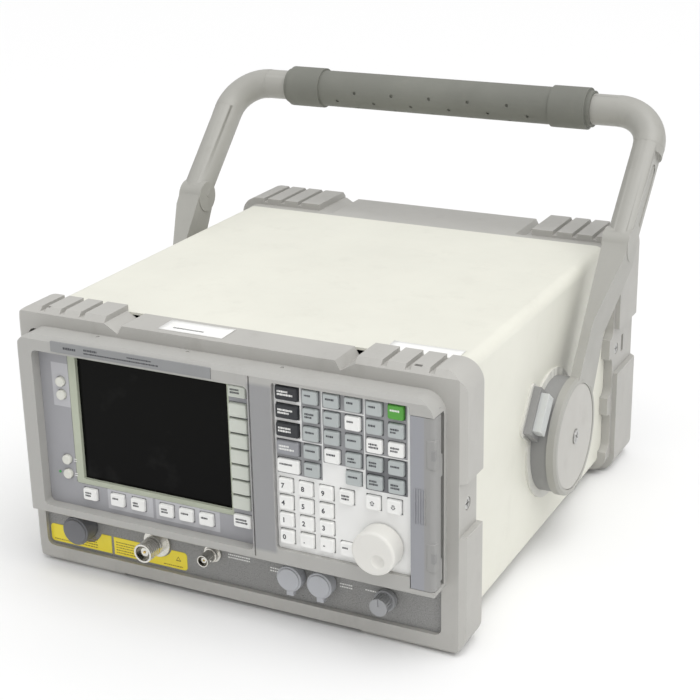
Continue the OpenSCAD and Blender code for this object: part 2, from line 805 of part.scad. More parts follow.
module bnc_connector() {
    color("#c2c4c3") place() difference() {
        union() {
            ycyl(bnc_x, bnc_z, 7.4, low_y - 2.4, low_y - 0.05);
            ycyl(bnc_x, bnc_z, 4.9, low_y - 17, low_y - 2.3);
            ycyl(bnc_x, bnc_z, 5.9, low_y - 6, low_y - 2.3);
            ycyl(bnc_x, bnc_z, 4.9, low_y - 0.1, low_y + 14);
            xcyl(low_y - 13, bnc_z, 1, bnc_x - 6.2, bnc_x + 6.2);
        }
        difference() {
            ycyl(bnc_x, bnc_z, 4, low_y - 18, low_y - 8);
            ycyl(bnc_x, bnc_z, 2.4, low_y - 15, low_y - 7);
        }
        ycyl(bnc_x, bnc_z, 0.9, low_y - 16, low_y - 9);
    }
}

module volume_knob() {
    color("#9a9a97") place() difference() {
        union() {
            ycyl(vol_x, vol_z, volume_r + 1.5, low_y - 5, low_y - 1);
            ycyl(vol_x, vol_z, volume_r, low_y - 16, low_y - 4.9);
            ycyl(vol_x, vol_z, 3, low_y - 1.1, low_y + 9);
        }
        for (a = [0 : 20 : 340])
            translate([vol_x, low_y - 15, vol_z]) rotate([0, a, 0])
                translate([volume_r - 0.5, 0, -0.5]) cube([2, 9, 1]);
        box(vol_x - 0.6, vol_x + 0.6, low_y - 17, low_y - 15.4, vol_z + 1, vol_z + 8);
    }
}

// ---------- disk drive and its door ----------
module disk_drive() {
    color("#6f7072") place() difference() {
        union() {
            box(146.6, 169.9, 1, 140, 79.5, 181.5);
            box(door_x0 - 0.4, 169.9, face_y + 8.3, 1.1, 79.5, 181.5);
        }
        box(163, 167, face_y + 7, 60, 86, 177);
        box(160.5, 169.5, face_y + 7, face_y + 12, 124, 138);
    }
}

module media_door() {
    z1 = door_z0 + door_h;
    color("#b4b3ad") place() difference() {
        union() {
            box(door_x0, bez_half - 4, face_y, face_y + door_t, door_z0, z1);
            box(bez_half - door_t, bez_half, face_y + 4, hinge_y - 1.8, door_z0, z1);
            zcyl(bez_half - 4, face_y + 4, 4, door_z0, z1);
            for (i = [0 : 4])
                box(161.2 + i * 1.9, 162 + i * 1.9, face_y - 0.7, face_y + 0.1, 114, 141);
            for (z = [67, 148]) {
                zcyl(hinge_x, hinge_y, 3.1, z, z + 16);
                box(hinge_x - 3, hinge_x + 2.9, face_y + 4, hinge_y, z, z + 16);
            }
        }
        zcyl(bez_half - 4.4, face_y + 4.4, 1.4, door_z0 - 1, z1 + 1);
        for (z = [67, 148])
            zcyl(hinge_x, hinge_y, pin_r + 0.06, z - 1, z + 17);
    }
}

module door_pin() {
    color("#a9abad") place() zcyl(hinge_x, hinge_y, pin_r, door_z0 - 3.4, door_z0 + door_h + 3.9);
}

// ---------- handle ----------
// brings handle geometry from its own frame to the case
module at_pivot(a) {
    translate([0, pivot_y, pivot_z]) rotate([a, 0, 0]) children();
}

// flat bar with a rounded far end lying in the YZ plane, from y0 to y1
module arm_bar(y0, y1, w, x0, x1) {
    translate([x0, 0, 0]) rotate([90, 0, 90]) linear_extrude(x1 - x0) {
        translate([y0, -w / 2]) square([y1 - y0, w]);
        translate([y1, 0]) circle(r = w / 2);
    }
}

// flat arm from hub to knee: wide at the hub, thick at the knee
module lower_arm() {
    rotate([lower_a, 0, 0]) intersection() {
        translate([hub_in, 0, 0]) rotate([90, 0, 90]) linear_extrude(40)
            polygon([[0, -25], [lower_len, 0.5 - tube_r], [lower_len, tube_r - 0.5], [0, 25]]);
        translate([0, 0, -40]) linear_extrude(80)
            polygon([
                [hub_in, 0],
                [hub_in, lower_len],
                [arm_mid + 9, lower_len],
                [arm_mid + 9, lower_len - 14],
                [hub_out, lower_len - 72],
                [hub_out, 0]
            ]);
    }
}

// round tube from knee to bend with a flattened, inlaid outer face
module upper_arm() {
    difference() {
        translate([arm_mid, -upper_len, 0]) rotate([-90, 0, 0]) cylinder(r = tube_r, h = upper_len - bend_r + 0.5);
        translate([arm_mid + 9.5, -upper_len - 1, -20]) cube([20, upper_len - bend_r - 7, 40]);
        arm_bar(20 - upper_len, -bend_r - 22, 11, arm_mid + 8.7, arm_mid + 12);
    }
}

// quarter bend, a little thicker than the tubes it joins
module quarter_bend() {
    rotate_extrude(angle = 90) translate([bend_r, 0]) circle(r = tube_r + 0.15);
}

module handle_bail() {
    color("#c4c2ba") place() at_pivot(handle_angle) {
        both_sides() {
            difference() {
                union() {
                    xcyl(0, 0, hub_r, hub_in, hub_out - 2);
                    translate([hub_out - 2, 0, 0]) rotate([0, 90, 0]) cylinder(r1 = hub_r, r2 = hub_r - 2, h = 2);
                    lower_arm();
                }
                xcyl(0, 0, hub_r - 5, hub_out - 1.5, hub_out + 1);
            }
            xcyl(0, 0, 12, base_in + 3, hub_in + 0.1);
            xcyl(knee_along, knee_up, tube_r + 0.4, arm_mid - tube_r + 0.3, arm_mid + 9.5);
            translate([0, handle_reach, 0]) rotate([upper_a, 0, 0]) upper_arm();
        }
        translate([0, handle_reach, 0]) rotate([upper_a, 0, 0]) {
            xcyl(0, 0, tube_r, bend_r - arm_mid - 0.5, arm_mid - bend_r + 0.5);
            translate([arm_mid - bend_r, -bend_r, 0]) quarter_bend();
            translate([bend_r - arm_mid, -bend_r, 0]) rotate([0, 0, 90]) quarter_bend();
        }
    }
}

module handle_grip() {
    g = grip_len / 2;
    color("#7c7d77") place() at_pivot(handle_angle) difference() {
        union() {
            xcyl(handle_reach, 0, grip_r, -g, g);
            both_sides() {
                xcyl(handle_reach, 0, grip_r + 1.8, g, g + 33);
                xcyl(handle_reach, 0, grip_r - 0.6, g + 33, g + 37);
            }
        }
        xcyl(handle_reach, 0, tube_r, -g - 40, g + 40);
        for (row = [-1 : 1])
            for (i = [0 : 5 - abs(row)])
                translate([-94 + i * 37.5 + 18.7 * abs(row), handle_reach, 0])
                    rotate([68 + row * 32, 0, 0]) translate([0, 0, grip_r - 1.5]) cylinder(r = 1.6, h = 4, $fn = 24);
    }
}

module hub_discs() {
    color("#bbb9b1") place() at_pivot(handle_angle) both_sides()
        difference() {
            xcyl(0, 0, hub_r - 5.3, hub_out - 1.45, hub_out - 0.4);
            xcyl(0, 0, 6.2, hub_out - 2, hub_out + 1);
        }
}

module hub_screws() {
    color("#8f9294") place() at_pivot(handle_angle) both_sides()
        difference() {
            xcyl(0, 0, 6, hub_out - 1.45, hub_out + 0.8);
            translate([hub_out - 0.2, -0.7, -4]) cube([2, 1.4, 8]);
            translate([hub_out - 0.2, -4, -0.7]) cube([2, 8, 1.4]);
        }
}

module pivot_base() {
    difference() {
        union() {
            xcyl(0, 0, hub_r - 1.5, base_in, base_out);
            rotate([button_a, 0, 0]) translate([base_in, button_r - 15, -19.5]) cube([6, 31, 39]);
        }
        xcyl(0, 0, 12 + pivot_gap, base_in - 1, base_out + 1);
        rotate([button_a, 0, 0]) translate([base_in - 1, button_r - 0.4, -16.4]) cube([20, 13.8, 32.8]);
    }
}

module pivot_base_right() {
    color("#6f6f6b") place() at_pivot(0) pivot_base();
}

module pivot_base_left() {
    color("#6f6f6b") place() mirror([1, 0, 0]) at_pivot(0) pivot_base();
}

module side_escutcheons() {
    color("#d6d6cf") place() both_sides() at_pivot(0)
        difference() {
            union() {
                xcyl(0, 0, hub_r + 5, cover_half, base_in - 0.1);
                rotate([button_a, 0, 0]) translate([cover_half, 30, 0]) rotate([90, 0, 90])
                    linear_extrude(base_in - 0.1 - cover_half) translate([20, 0]) rrect(42, 44, 6);
            }
            xcyl(0, 0, 8, cover_half - 1, base_in);
        }
}

module release_button() {
    rotate([button_a, 0, 0]) difference() {
        translate([base_in + 3.4, button_r, -16]) cube([base_out - base_in - 3.8, 13, 32]);
        for (i = [0 : 3])
            translate([base_out - 1.4, button_r + 1.6 + i * 2.8, -13]) cube([2, 1.2, 26]);
    }
}

module release_button_right() {
    color("#c2c5c3") place() at_pivot(0) release_button();
}

module release_button_left() {
    color("#c2c5c3") place() mirror([1, 0, 0]) at_pivot(0) release_button();
}

front_frame();
front_bezel();
display_panel();
display_gasket();
display_glass();
lcd_module();
name_plate();
keypad_panel();
keypad_backing();
connector_panel();
warning_label();
rf_out_cap();
n_connector();
bnc_connector();
probe_power_cap();
ext_keyboard_cap();
volume_knob();
rpg_knob();
disk_drive();
media_door();
door_pin();
sleeve_cover();
chassis_tray();
power_supply();
rf_deck();
processor_board();
rear_frame();
rear_panel();
rear_bnc_group();
gpib_connector();
video_connector();
power_inlet();
fan_grille();
fan_frame();
fan_rotor();
handle_bail();
handle_grip();
hub_discs();
hub_screws();
pivot_base_left();
pivot_base_right();
side_escutcheons();
release_button_left();
release_button_right();
frame_screws();
key_power_on();
key_standby();
view_keys();
key_help();
key_esc();
softkeys();
key_return();
tab_keys();
band_keys();
key_preset();
white_keys();
grey_keys();
number_keys();
key_enter();
arrow_keys();
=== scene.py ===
import json
import math
import random

import bmesh
import bpy
from mathutils import Matrix, Vector


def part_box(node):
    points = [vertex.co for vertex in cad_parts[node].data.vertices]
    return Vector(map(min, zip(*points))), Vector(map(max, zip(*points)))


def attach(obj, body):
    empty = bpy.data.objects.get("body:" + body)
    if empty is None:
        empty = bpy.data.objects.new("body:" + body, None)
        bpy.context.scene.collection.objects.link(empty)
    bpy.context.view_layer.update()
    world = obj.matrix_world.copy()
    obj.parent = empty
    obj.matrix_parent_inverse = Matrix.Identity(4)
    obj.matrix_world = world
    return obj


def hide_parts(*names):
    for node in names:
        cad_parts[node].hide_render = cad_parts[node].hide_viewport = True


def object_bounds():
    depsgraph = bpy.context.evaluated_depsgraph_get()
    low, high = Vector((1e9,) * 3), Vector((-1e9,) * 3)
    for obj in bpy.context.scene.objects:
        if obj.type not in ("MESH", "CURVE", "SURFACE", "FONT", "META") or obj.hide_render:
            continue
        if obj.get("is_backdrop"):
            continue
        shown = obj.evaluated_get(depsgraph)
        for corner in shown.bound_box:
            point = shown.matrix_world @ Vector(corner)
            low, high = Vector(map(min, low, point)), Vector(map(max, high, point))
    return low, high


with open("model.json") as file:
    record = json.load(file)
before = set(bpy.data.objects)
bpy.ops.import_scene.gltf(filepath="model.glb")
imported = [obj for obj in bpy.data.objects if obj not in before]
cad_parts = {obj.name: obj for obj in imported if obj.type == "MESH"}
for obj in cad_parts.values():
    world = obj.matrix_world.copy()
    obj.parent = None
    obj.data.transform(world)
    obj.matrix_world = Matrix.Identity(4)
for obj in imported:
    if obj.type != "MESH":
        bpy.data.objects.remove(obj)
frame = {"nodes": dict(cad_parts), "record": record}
cad_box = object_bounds()
nodes = frame["nodes"]
random.seed(7)
MM = 0.001

# ---------------------------------------------------------------- sizes
# every place is worked out from the CAD boxes, in metres
FRAME_LO, FRAME_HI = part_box("front_frame")
PAD_LO, PAD_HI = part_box("keypad_panel")
DIS_LO, DIS_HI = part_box("display_panel")
CON_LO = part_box("connector_panel")[0]
COV_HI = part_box("sleeve_cover")[1]
LAB_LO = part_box("warning_label")[0]
PLATE_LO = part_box("name_plate")[0]

WELD = 3e-6  # CAD vertices closer than this are one
FLAT_ANGLE = math.radians(0.4)  # faces that meet at less than this are one flat face
KEY_INSET = 0.7 * MM  # measure of the draft on a key's sides
KEY_DISH = 0.35 * MM  # depth of a key's dished face
PRINT_SINK = 0.04 * MM  # printed bars are set this far into the surface they lie on
OUTLINE_HEIGHT = 0.1 * MM  # rise of an outlined sign
SLOT_GAP = 0.4 * MM  # clearance between a key and its panel


# ---------------------------------------------------------------- node helpers
class Tree:
    """Small wrapper for building one material's node tree."""

    def __init__(self, name):
        self.mat = bpy.data.materials.new(name)
        self.mat.use_nodes = True
        self.nt = self.mat.node_tree
        self.nt.nodes.clear()
        self.out = self.add("ShaderNodeOutputMaterial")
        self.bsdf = self.add("ShaderNodeBsdfPrincipled")
        self.link(self.bsdf.outputs[0], self.out.inputs[0])
        self.coord = self.add("ShaderNodeTexCoord").outputs["Object"]

    def add(self, kind, **values):
        node = self.nt.nodes.new(kind)
        for key, value in values.items():
            setattr(node, key, value)
        return node

    def link(self, a, b):
        self.nt.links.new(a, b)

    def math(self, op, a, b):
        node = self.add("ShaderNodeMath", operation=op)
        for i, v in enumerate((a, b)):
            if isinstance(v, (int, float)):
                node.inputs[i].default_value = v
            else:
                self.link(v, node.inputs[i])
        return node.outputs[0]

    def mix(self, fac, a, b):
        node = self.add("ShaderNodeMix", data_type="RGBA")
        if isinstance(fac, (int, float)):
            node.inputs[0].default_value = fac
        else:
            self.link(fac, node.inputs[0])
        for i, v in ((6, a), (7, b)):
            if isinstance(v, (tuple, list)):
                node.inputs[i].default_value = (*v[:3], 1.0)
            else:
                self.link(v, node.inputs[i])
        return node.outputs[2]

    def noise(self, scale, detail=3.0, rough=0.55, stretch=None):
        node = self.add("ShaderNodeTexNoise")
        node.inputs["Scale"].default_value = scale
        node.inputs["Detail"].default_value = detail
        node.inputs["Roughness"].default_value = rough
        vec = self.coord
        if stretch:
            mapping = self.add("ShaderNodeMapping")
            mapping.inputs["Scale"].default_value = stretch
            self.link(self.coord, mapping.inputs["Vector"])
            vec = mapping.outputs[0]
        self.link(vec, node.inputs["Vector"])
        return node.outputs[0]

    def ramp(self, value, lo, hi, out_lo=0.0, out_hi=1.0):
        node = self.add("ShaderNodeMapRange", clamp=True)
        self.link(value, node.inputs[0])
        for i, v in enumerate((lo, hi, out_lo, out_hi), 1):
            node.inputs[i].default_value = v
        return node.outputs[0]

    def axes(self):
        node = self.add("ShaderNodeSeparateXYZ")
        self.link(self.coord, node.inputs[0])
        return node.outputs

    def bump(self, height, strength, distance):
        node = self.add("ShaderNodeBump")
        node.inputs["Strength"].default_value = strength
        node.inputs["Distance"].default_value = distance
        self.link(height, node.inputs["Height"])
        self.link(node.outputs[0], self.bsdf.inputs["Normal"])


def edge_mask(t, radius, gain):
    """White along convex edges, from the angle between the true and the rounded normal."""
    bevel = t.add("ShaderNodeBevel", samples=4)
    bevel.inputs[0].default_value = radius
    geo = t.add("ShaderNodeNewGeometry")
    dot = t.add("ShaderNodeVectorMath", operation="DOT_PRODUCT")
    t.link(bevel.outputs[0], dot.inputs[0])
    t.link(geo.outputs["Normal"], dot.inputs[1])
    return t.ramp(dot.outputs["Value"], 1.0, 1.0 - gain)


def in_box(t, xyz, x0, x1, z0, z1, soft=0.00008):
    """1 inside a rectangle of the XZ plane, 0 outside."""
    terms = [
        t.ramp(xyz[0], x0 - soft, x0 + soft),
        t.ramp(xyz[0], x1 + soft, x1 - soft),
        t.ramp(xyz[2], z0 - soft, z0 + soft),
        t.ramp(xyz[2], z1 + soft, z1 - soft),
    ]
    value = terms[0]
    for term in terms[1:]:
        value = t.math("MULTIPLY", value, term)
    return value


def finish_surface(t, base, color, rough, vary=0.05, dirt=0.12, wear=0.0, grain=2400.0, relief=0.05,
                   wear_color=None, dirt_color=(0.16, 0.14, 0.11), depth=0.0002):
    """Colour drift, grime, rubbed edges, roughness and grain, over a base colour or colour socket."""
    cloud = t.noise(9.0, 5.0, 0.6)
    fine = t.noise(grain, 2.0, 0.5)
    dark = tuple(c * (1.0 - vary) for c in color)
    light = tuple(min(1.0, c * (1.0 + vary)) for c in color)
    if base is None:
        col = t.mix(t.ramp(cloud, 0.3, 0.7), dark, light)
    else:
        col = t.mix(t.ramp(cloud, 0.3, 0.75, 0.0, vary), base, dark)
    smear = t.noise(34.0, 6.0, 0.7, (1.0, 1.0, 0.45))
    grime = t.ramp(smear, 0.56, 0.78, 0.0, dirt)
    col = t.mix(grime, col, dirt_color)
    if wear > 0.0:
        edge = edge_mask(t, 0.0011, 0.25)
        patch = t.ramp(t.noise(120.0, 4.0, 0.7), 0.45, 0.62)
        amount = t.math("MULTIPLY", t.math("MULTIPLY", edge, patch), wear)
        rub = wear_color or tuple(min(1.0, c * 1.35 + 0.04) for c in color)
        col = t.mix(amount, col, rub)
    t.link(col, t.bsdf.inputs["Base Color"])
    gloss = t.ramp(t.noise(60.0, 4.0, 0.6), 0.25, 0.75, rough - 0.06, rough + 0.07)
    t.link(gloss, t.bsdf.inputs["Roughness"])
    t.bump(fine, relief, depth)
    return t.mat


def plain(name, color, rough=0.5, **k):
    """One even colour with the common surface finish."""
    return finish_surface(Tree(name), None, color, rough, **k)


# ---------------------------------------------------------------- materials
def keypad_paint(name):
    """White key field with painted grey zones; the white left between them reads as divider lines."""
    t = Tree(name)
    xyz = t.axes()
    white = (0.85, 0.85, 0.835)
    grey = (0.30, 0.302, 0.312)
    dark = (0.155, 0.158, 0.168)
    x0, z1 = PAD_LO.x, PAD_HI.z
    # left, right, bottom and top of each zone from the panel's top left corner, mm
    zones = (
        (22.3, 38.1, -42.0, -0.9, grey), (1.2, 38.1, -70.2, -42.9, grey), (39.0, 71.5, -13.5, -0.9, grey),
        (39.0, 71.5, -55.8, -14.4, grey), (72.4, 105.0, -42.0, -0.9, grey), (72.4, 105.0, -70.2, -42.9, dark),
    )
    col = None
    for a, b, c, d, tone in zones:
        col = t.mix(in_box(t, xyz, x0 + a * MM, x0 + b * MM, z1 + c * MM, z1 + d * MM), col or white, tone)
    return finish_surface(t, col, white, 0.46, vary=0.04, dirt=0.07, grain=2600.0)


def display_paint(name):
    """Grey-violet display surround with the two light key fields and the angle label."""
    t = Tree(name)
    xyz = t.axes()
    base = (0.34, 0.34, 0.358)
    light = (0.50, 0.50, 0.52)
    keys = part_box("tab_keys")
    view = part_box("view_keys")
    z0, z1 = keys[0].z - 4.2 * MM, keys[1].z + 4.0 * MM
    a = keys[0].x
    fields = [
        (a - 4.0 * MM, a + 38.0 * MM, z0, z1),
        (a + 40.5 * MM, keys[1].x + 4.5 * MM, z0, z1),
        (view[0].x - 4.4 * MM, view[1].x + 4.4 * MM, view[0].z - 6.0 * MM, view[1].z + 11.0 * MM),
    ]
    col = None
    for f in fields:
        col = t.mix(in_box(t, xyz, *f), col or base, light)
    return finish_surface(t, col, base, 0.5, vary=0.06, dirt=0.12, grain=2600.0)


def bezel_paint(name):
    """Warm grey bezel; its pillar between display and keypad is darkened with painted shade."""
    t = Tree(name)
    xyz = t.axes()
    warm = (0.43, 0.425, 0.405)
    # painted shade: the pillar is coloured darker than the rest of the bezel, with a soft 1.5 mm edge
    pillar = in_box(t, xyz, DIS_HI.x, PAD_LO.x, PAD_LO.z - 4.0 * MM, PAD_HI.z - 3.0 * MM, 0.0015)
    col = t.mix(pillar, warm, (0.30, 0.30, 0.305))
    return finish_surface(t, col, warm, 0.5, vary=0.05, dirt=0.14, wear=0.5, grain=1900.0, relief=0.09)


def door_paint(name):
    """Bluish door face with the warm grey rounded column along its hinge side."""
    t = Tree(name)
    xyz = t.axes()
    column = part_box("media_door")[1].x - 8.2 * MM
    col = t.mix(t.ramp(xyz[0], column, column + 0.3 * MM), (0.315, 0.32, 0.345), (0.31, 0.308, 0.30))
    return finish_surface(t, col, (0.33, 0.33, 0.34), 0.48, vary=0.05, dirt=0.12, wear=0.4, grain=1900.0,
                          relief=0.08, wear_color=(0.5, 0.5, 0.5))


def speckle_paint(name):
    """Dark textured coat with light and dark flecks."""
    t = Tree(name)
    base = (0.285, 0.283, 0.276)
    speck = t.noise(1500.0, 2.0, 0.6)
    col = t.mix(t.ramp(speck, 0.5, 0.72), base, (0.42, 0.42, 0.41))
    col = t.mix(t.ramp(speck, 0.42, 0.3), col, (0.06, 0.06, 0.06))
    mat = finish_surface(t, col, base, 0.6, vary=0.1, dirt=0.15, grain=1500.0, relief=0.28, depth=0.0004)
    return mat


def screen_glass(name):
    """Dark display glass with faint smears in its gloss and a painted highlight towards its top."""
    t = Tree(name)
    smear = t.noise(22.0, 5.0, 0.65)
    xyz = t.axes()
    # painted highlight: the glass colour grows lighter from its bottom edge to its top edge
    lit = t.ramp(xyz[2], DIS_LO.z, DIS_HI.z)
    col = t.mix(lit, (0.003, 0.003, 0.003), (0.0055, 0.0055, 0.005))
    cloudy = t.ramp(t.noise(26.0, 4.0, 0.6), 0.58, 0.78, 0.0, 0.5)
    t.link(t.mix(cloudy, col, (0.024, 0.024, 0.023)), t.bsdf.inputs["Base Color"])
    t.link(t.ramp(smear, 0.3, 0.75, 0.08, 0.26), t.bsdf.inputs["Roughness"])
    t.bsdf.inputs["Specular IOR Level"].default_value = 0.06
    t.bump(t.noise(600.0, 2.0), 0.01, 0.0001)
    return t.mat


def metal(name, color, rough, brushed=None, plating=0.0):
    t = Tree(name)
    t.bsdf.inputs["Metallic"].default_value = 1.0
    streak = t.noise(260.0, 3.0, 0.6, brushed or (1.0, 1.0, 1.0))
    dull = tuple(c * 0.62 for c in color)
    col = t.mix(t.ramp(streak, 0.35, 0.75, 0.0, 0.5), color, dull)
    col = t.mix(t.ramp(t.noise(45.0, 5.0, 0.7), 0.55, 0.8, 0.0, 0.35 + plating), col, (0.2, 0.17, 0.12))
    t.link(col, t.bsdf.inputs["Base Color"])
    t.link(t.ramp(streak, 0.2, 0.8, rough - 0.06, rough + 0.12), t.bsdf.inputs["Roughness"])
    t.bump(streak, 0.06, 0.0001)
    return t.mat


def rubber(name, color, rough=0.72, grain=900.0):
    t = Tree(name)
    return finish_surface(t, None, color, rough, vary=0.1, dirt=0.2, wear=0.25, grain=grain, relief=0.22,
                          depth=0.0003, dirt_color=(0.3, 0.29, 0.25))


M = {
    "frame": plain("frame_plastic_worn", (0.455, 0.447, 0.422), 0.52, vary=0.05, dirt=0.16, wear=0.55,
                   grain=1700.0, relief=0.10),
    "bezel": bezel_paint("bezel_plastic_worn"),
    "door": door_paint("door_plastic_two_tone"),
    "cover": plain("cover_cream_paint", (0.75, 0.745, 0.665), 0.44, vary=0.035, dirt=0.08, wear=0.35,
                   grain=1300.0, relief=0.09, wear_color=(0.42, 0.41, 0.38)),
    "display": display_paint("display_surround_paint"),
    "keypad": keypad_paint("keypad_zone_paint"),
    "gasket": rubber("gasket_cream", (0.44, 0.47, 0.375), 0.6),
    "glass": screen_glass("screen_glass_dark"),
    "can": metal("zinc_sheet", (0.55, 0.56, 0.57), 0.36, (1.0, 6.0, 1.0)),
    "plate": plain("name_plate_satin", (0.27, 0.275, 0.278), 0.36, vary=0.04, dirt=0.1, grain=1800.0,
                   relief=0.06),
    "board": plain("circuit_board", (0.04, 0.19, 0.08), 0.4, dirt=0.1),
    "connector": speckle_paint("connector_panel_texture"),
    "yellow": plain("warning_yellow", (0.98, 0.80, 0.05), 0.4, vary=0.05, dirt=0.12, grain=900.0),
    "nickel": metal("nickel_plate", (0.80, 0.785, 0.74), 0.2, (1.0, 1.0, 5.0), 0.1),
    "gold": metal("gold_contact", (0.83, 0.61, 0.22), 0.24),
    "cap_black": plain("cap_dark_vinyl", (0.155, 0.157, 0.168), 0.5, wear=0.3, dirt=0.12, grain=800.0),
    "cap_grey": plain("cap_grey_vinyl", (0.49, 0.50, 0.525), 0.55, wear=0.3, dirt=0.12, grain=800.0,
                      relief=0.14),
    "knob": plain("knob_ivory_plastic", (0.75, 0.74, 0.70), 0.36, vary=0.03, wear=0.2, dirt=0.08,
                  grain=1600.0),
    "volume": plain("volume_knob_plastic", (0.36, 0.365, 0.375), 0.45, wear=0.3, dirt=0.14, grain=1600.0),
    "drive": plain("drive_front_plastic", (0.16, 0.16, 0.17), 0.5),
    "steel": metal("screw_steel", (0.55, 0.55, 0.54), 0.32),
    "rear": plain("rear_panel_paint", (0.56, 0.56, 0.53), 0.46, wear=0.3, grain=1300.0, relief=0.1),
    "black": plain("black_plastic", (0.028, 0.028, 0.03), 0.42, wear=0.2, dirt=0.1),
    "blue": plain("port_blue_plastic", (0.05, 0.11, 0.33), 0.42, wear=0.2),
    "handle": plain("handle_paint", (0.375, 0.37, 0.342), 0.42, vary=0.05, dirt=0.18, wear=0.5, grain=1500.0,
                    relief=0.08),
    "grip": rubber("grip_olive_rubber", (0.185, 0.188, 0.165), 0.66, 1100.0),
    "hub": plain("hub_disc_plastic", (0.50, 0.49, 0.46), 0.5, wear=0.4, dirt=0.16, grain=1500.0, relief=0.12),
    "base": plain("pivot_base_plastic", (0.275, 0.274, 0.270), 0.55, wear=0.35, dirt=0.2, grain=1400.0),
    "escutcheon": plain("escutcheon_plastic", (0.66, 0.655, 0.61), 0.5, wear=0.2, grain=1500.0),
    "button": plain("release_button_plastic", (0.56, 0.575, 0.565), 0.45, wear=0.4, grain=1500.0),
    "key_light": plain("round_key_cream", (0.68, 0.68, 0.62), 0.4, dirt=0.15, wear=0.2),
    "key_soft": plain("softkey_green_grey", (0.60, 0.625, 0.565), 0.5, vary=0.03, dirt=0.08, wear=0.15),
    "key_grey": plain("key_blue_grey", (0.45, 0.482, 0.478), 0.5, vary=0.04, dirt=0.08, wear=0.15),
    "key_mid": plain("key_mid_grey", (0.29, 0.295, 0.315), 0.5, vary=0.04, dirt=0.08, wear=0.2),
    "key_black": plain("key_black_silicone", (0.024, 0.026, 0.03), 0.48, vary=0.08, dirt=0.08, wear=0.2),
    "key_green": plain("key_green_silicone", (0.085, 0.34, 0.045), 0.5, vary=0.06, dirt=0.08, wear=0.2),
    "key_white": plain("key_white_silicone", (0.87, 0.87, 0.85), 0.48, vary=0.03, dirt=0.06, wear=0.1),
    "ink_white": plain("ink_white", (0.82, 0.82, 0.80), 0.5, dirt=0.1),
    # dark print; the same material paints the shade bars in the key slots
    "dark_print_and_slot_shade": plain("dark_print_and_slot_shade", (0.045, 0.047, 0.055), 0.5, dirt=0.05),
    "ink_brown": plain("ink_brown", (0.30, 0.20, 0.03), 0.5, dirt=0.05),
    "sticker": plain("paper_sticker", (0.88, 0.88, 0.86), 0.62, vary=0.03, dirt=0.1, grain=500.0,
                     relief=0.12),
    "led": plain("led_green", (0.05, 0.35, 0.08), 0.25, dirt=0.05),
}


# ---------------------------------------------------------------- mesh helpers
def new_object(name, bm, mat, body):
    mesh = bpy.data.meshes.new(name)
    bm.normal_update()
    bm.to_mesh(mesh)
    bm.free()
    obj = bpy.data.objects.new(name, mesh)
    bpy.context.scene.collection.objects.link(obj)
    mesh.materials.append(M[mat])
    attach(obj, body)
    return obj


def soften(obj, width, segments=2, angle=32.0):
    for poly in obj.data.polygons:
        poly.use_smooth = True
    bevel = obj.modifiers.new("edge", "BEVEL")
    bevel.width = width
    bevel.segments = segments
    bevel.limit_method = "ANGLE"
    bevel.angle_limit = math.radians(angle)
    bevel.use_clamp_overlap = True
    bevel.harden_normals = False
    weighted = obj.modifiers.new("normals", "WEIGHTED_NORMAL")
    weighted.keep_sharp = True
    weighted.weight = 80
    return obj


BODY_OF = {n: b for b, names in frame["record"]["behaviour"]["bodies"].items() for n in names}


def refine(node, mat, width, segments=2, angle=32.0, merge=True):
    """A copy of a CAD node with welded faces and rounded edges that stands for it."""
    bm = bmesh.new()
    bm.from_mesh(nodes[node].data)
    bmesh.ops.remove_doubles(bm, verts=bm.verts, dist=WELD)
    if merge:
        bmesh.ops.dissolve_limit(bm, angle_limit=FLAT_ANGLE, verts=bm.verts, edges=bm.edges,
                                 use_dissolve_boundaries=False)
        bmesh.ops.connect_verts_concave(bm, faces=list(bm.faces))
    obj = new_object(node + "_skin", bm, mat, BODY_OF[node])
    soften(obj, width, segments, angle)
    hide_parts(node)
    return obj


def paint(node, mat):
    """A CAD node kept as it is, with its material."""
    obj = nodes[node]
    obj.data.materials.clear()
    obj.data.materials.append(M[mat])


def add_box(bm, lo, hi):
    size = Vector(hi) - Vector(lo)
    centre = (Vector(hi) + Vector(lo)) / 2
    bmesh.ops.create_cube(bm, size=1.0, matrix=Matrix.Translation(centre) @ Matrix.Diagonal((*size, 1.0)))


def add_disc(bm, centre, radius, depth, sides=32):
    """A disc whose axis runs along Y."""
    turn = Matrix.Rotation(math.pi / 2, 4, "X")
    bmesh.ops.create_cone(bm, cap_ends=True, segments=sides, radius1=radius, radius2=radius, depth=depth,
                          matrix=Matrix.Translation(Vector(centre)) @ turn)


